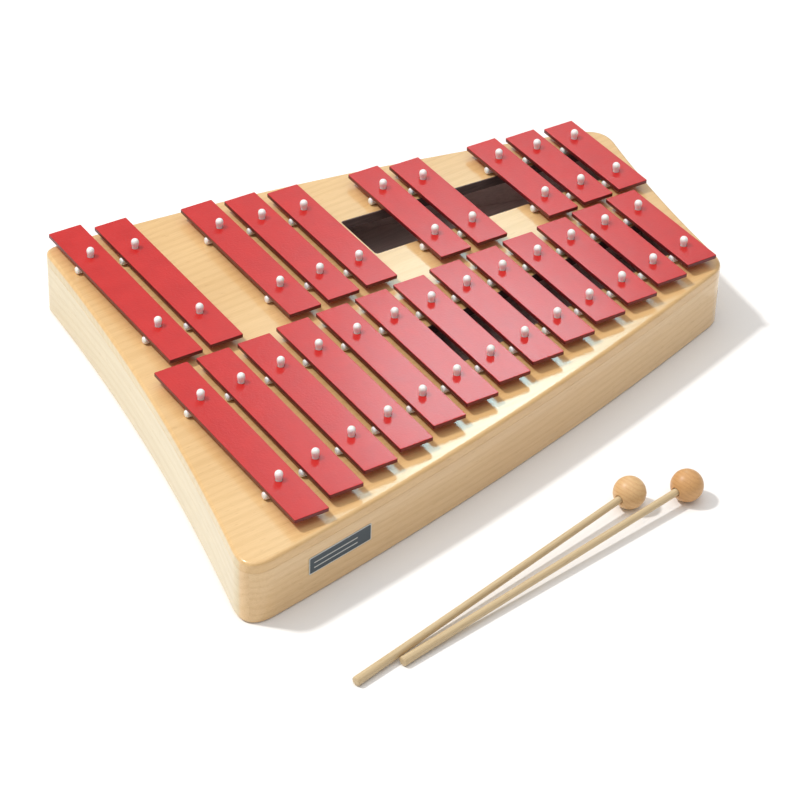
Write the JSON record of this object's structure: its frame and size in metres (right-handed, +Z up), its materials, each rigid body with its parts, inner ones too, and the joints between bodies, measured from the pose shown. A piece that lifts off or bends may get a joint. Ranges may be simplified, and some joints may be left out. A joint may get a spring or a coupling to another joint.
{
  "type": "chromatic alto glockenspiel",
  "caption": "Chromatic glockenspiel: red steel bars in two rows on pins over a wooden resonator box with sound slots, with a pair of ball mallets in front.",
  "frame": {"origin": "middle of the resonator box's base, on the surface it stands on", "axes": "+X from the low notes to the high notes, +Y away from the player, +Z up"},
  "size_m": [0.4813, 0.4566, 0.0638],
  "materials": {
    "lacquered_wood": "pale clear-lacquered hardwood, satin",
    "dark_wood": "dark stained inside of the box",
    "red_lacquer": "smooth red lacquer on steel",
    "steel_pin": "bright steel pin",
    "white_silicone": "white soft silicone",
    "mallet_wood": "oiled hardwood",
    "label": "dark printed label without text"
  },
  "bodies": {
    "resonator": {"top_board": "lacquered_wood", "front_wall": "lacquered_wood", "treble_end_wall": "lacquered_wood", "back_wall": "lacquered_wood", "bass_end_wall": "lacquered_wood", "bottom_board": "dark_wood", "center_rib": "dark_wood", "name_label": "label", "natural_front_pins": "steel_pin", "natural_front_pads": "white_silicone", "natural_rear_pins": "steel_pin", "natural_rear_pads": "white_silicone", "accidental_front_pins": "steel_pin", "accidental_front_pads": "white_silicone", "accidental_rear_pins": "steel_pin", "accidental_rear_pads": "white_silicone"},
    "bar_c5_body": {"bar_c5": "red_lacquer"},
    "bar_c_sharp_5_body": {"bar_c_sharp_5": "red_lacquer"},
    "bar_d5_body": {"bar_d5": "red_lacquer"},
    "bar_d_sharp_5_body": {"bar_d_sharp_5": "red_lacquer"},
    "bar_e5_body": {"bar_e5": "red_lacquer"},
    "bar_f5_body": {"bar_f5": "red_lacquer"},
    "bar_f_sharp_5_body": {"bar_f_sharp_5": "red_lacquer"},
    "bar_g5_body": {"bar_g5": "red_lacquer"},
    "bar_g_sharp_5_body": {"bar_g_sharp_5": "red_lacquer"},
    "bar_a5_body": {"bar_a5": "red_lacquer"},
    "bar_a_sharp_5_body": {"bar_a_sharp_5": "red_lacquer"},
    "bar_b5_body": {"bar_b5": "red_lacquer"},
    "bar_c6_body": {"bar_c6": "red_lacquer"},
    "bar_c_sharp_6_body": {"bar_c_sharp_6": "red_lacquer"},
    "bar_d6_body": {"bar_d6": "red_lacquer"},
    "bar_d_sharp_6_body": {"bar_d_sharp_6": "red_lacquer"},
    "bar_e6_body": {"bar_e6": "red_lacquer"},
    "bar_f6_body": {"bar_f6": "red_lacquer"},
    "bar_f_sharp_6_body": {"bar_f_sharp_6": "red_lacquer"},
    "bar_g6_body": {"bar_g6": "red_lacquer"},
    "bar_g_sharp_6_body": {"bar_g_sharp_6": "red_lacquer"},
    "bar_a6_body": {"bar_a6": "red_lacquer"},
    "bar_a_sharp_6_body": {"bar_a_sharp_6": "red_lacquer"},
    "mallet_1": {"mallet_1_stick": "mallet_wood", "mallet_1_head": "mallet_wood"},
    "mallet_2": {"mallet_2_stick": "mallet_wood", "mallet_2_head": "mallet_wood"}
  },
  "joints": [
    {"name": "bar_c5_lift", "type": "slide", "parent": "resonator", "child": "bar_c5_body", "axis": [0, 0, 1], "range_m": [0, 0.03]},
    {"name": "bar_c_sharp_5_lift", "type": "slide", "parent": "resonator", "child": "bar_c_sharp_5_body", "axis": [0, 0, 1], "range_m": [0, 0.03]},
    {"name": "bar_d5_lift", "type": "slide", "parent": "resonator", "child": "bar_d5_body", "axis": [0, 0, 1], "range_m": [0, 0.03]},
    {"name": "bar_d_sharp_5_lift", "type": "slide", "parent": "resonator", "child": "bar_d_sharp_5_body", "axis": [0, 0, 1], "range_m": [0, 0.03]},
    {"name": "bar_e5_lift", "type": "slide", "parent": "resonator", "child": "bar_e5_body", "axis": [0, 0, 1], "range_m": [0, 0.03]},
    {"name": "bar_f5_lift", "type": "slide", "parent": "resonator", "child": "bar_f5_body", "axis": [0, 0, 1], "range_m": [0, 0.03]},
    {"name": "bar_f_sharp_5_lift", "type": "slide", "parent": "resonator", "child": "bar_f_sharp_5_body", "axis": [0, 0, 1], "range_m": [0, 0.03]},
    {"name": "bar_g5_lift", "type": "slide", "parent": "resonator", "child": "bar_g5_body", "axis": [0, 0, 1], "range_m": [0, 0.03]},
    {"name": "bar_g_sharp_5_lift", "type": "slide", "parent": "resonator", "child": "bar_g_sharp_5_body", "axis": [0, 0, 1], "range_m": [0, 0.03]},
    {"name": "bar_a5_lift", "type": "slide", "parent": "resonator", "child": "bar_a5_body", "axis": [0, 0, 1], "range_m": [0, 0.03]},
    {"name": "bar_a_sharp_5_lift", "type": "slide", "parent": "resonator", "child": "bar_a_sharp_5_body", "axis": [0, 0, 1], "range_m": [0, 0.03]},
    {"name": "bar_b5_lift", "type": "slide", "parent": "resonator", "child": "bar_b5_body", "axis": [0, 0, 1], "range_m": [0, 0.03]},
    {"name": "bar_c6_lift", "type": "slide", "parent": "resonator", "child": "bar_c6_body", "axis": [0, 0, 1], "range_m": [0, 0.03]},
    {"name": "bar_c_sharp_6_lift", "type": "slide", "parent": "resonator", "child": "bar_c_sharp_6_body", "axis": [0, 0, 1], "range_m": [0, 0.03]},
    {"name": "bar_d6_lift", "type": "slide", "parent": "resonator", "child": "bar_d6_body", "axis": [0, 0, 1], "range_m": [0, 0.03]},
    {"name": "bar_d_sharp_6_lift", "type": "slide", "parent": "resonator", "child": "bar_d_sharp_6_body", "axis": [0, 0, 1], "range_m": [0, 0.03]},
    {"name": "bar_e6_lift", "type": "slide", "parent": "resonator", "child": "bar_e6_body", "axis": [0, 0, 1], "range_m": [0, 0.03]},
    {"name": "bar_f6_lift", "type": "slide", "parent": "resonator", "child": "bar_f6_body", "axis": [0, 0, 1], "range_m": [0, 0.03]},
    {"name": "bar_f_sharp_6_lift", "type": "slide", "parent": "resonator", "child": "bar_f_sharp_6_body", "axis": [0, 0, 1], "range_m": [0, 0.03]},
    {"name": "bar_g6_lift", "type": "slide", "parent": "resonator", "child": "bar_g6_body", "axis": [0, 0, 1], "range_m": [0, 0.03]},
    {"name": "bar_g_sharp_6_lift", "type": "slide", "parent": "resonator", "child": "bar_g_sharp_6_body", "axis": [0, 0, 1], "range_m": [0, 0.03]},
    {"name": "bar_a6_lift", "type": "slide", "parent": "resonator", "child": "bar_a6_body", "axis": [0, 0, 1], "range_m": [0, 0.03]},
    {"name": "bar_a_sharp_6_lift", "type": "slide", "parent": "resonator", "child": "bar_a_sharp_6_body", "axis": [0, 0, 1], "range_m": [0, 0.03]},
    {"name": "mallet_1_lift", "type": "slide", "parent": "resonator", "child": "mallet_1", "axis": [0, 0, 1], "range_m": [0, 0.12]},
    {"name": "mallet_2_lift", "type": "slide", "parent": "resonator", "child": "mallet_2", "axis": [0, 0, 1], "range_m": [0, 0.12]}
  ]
}
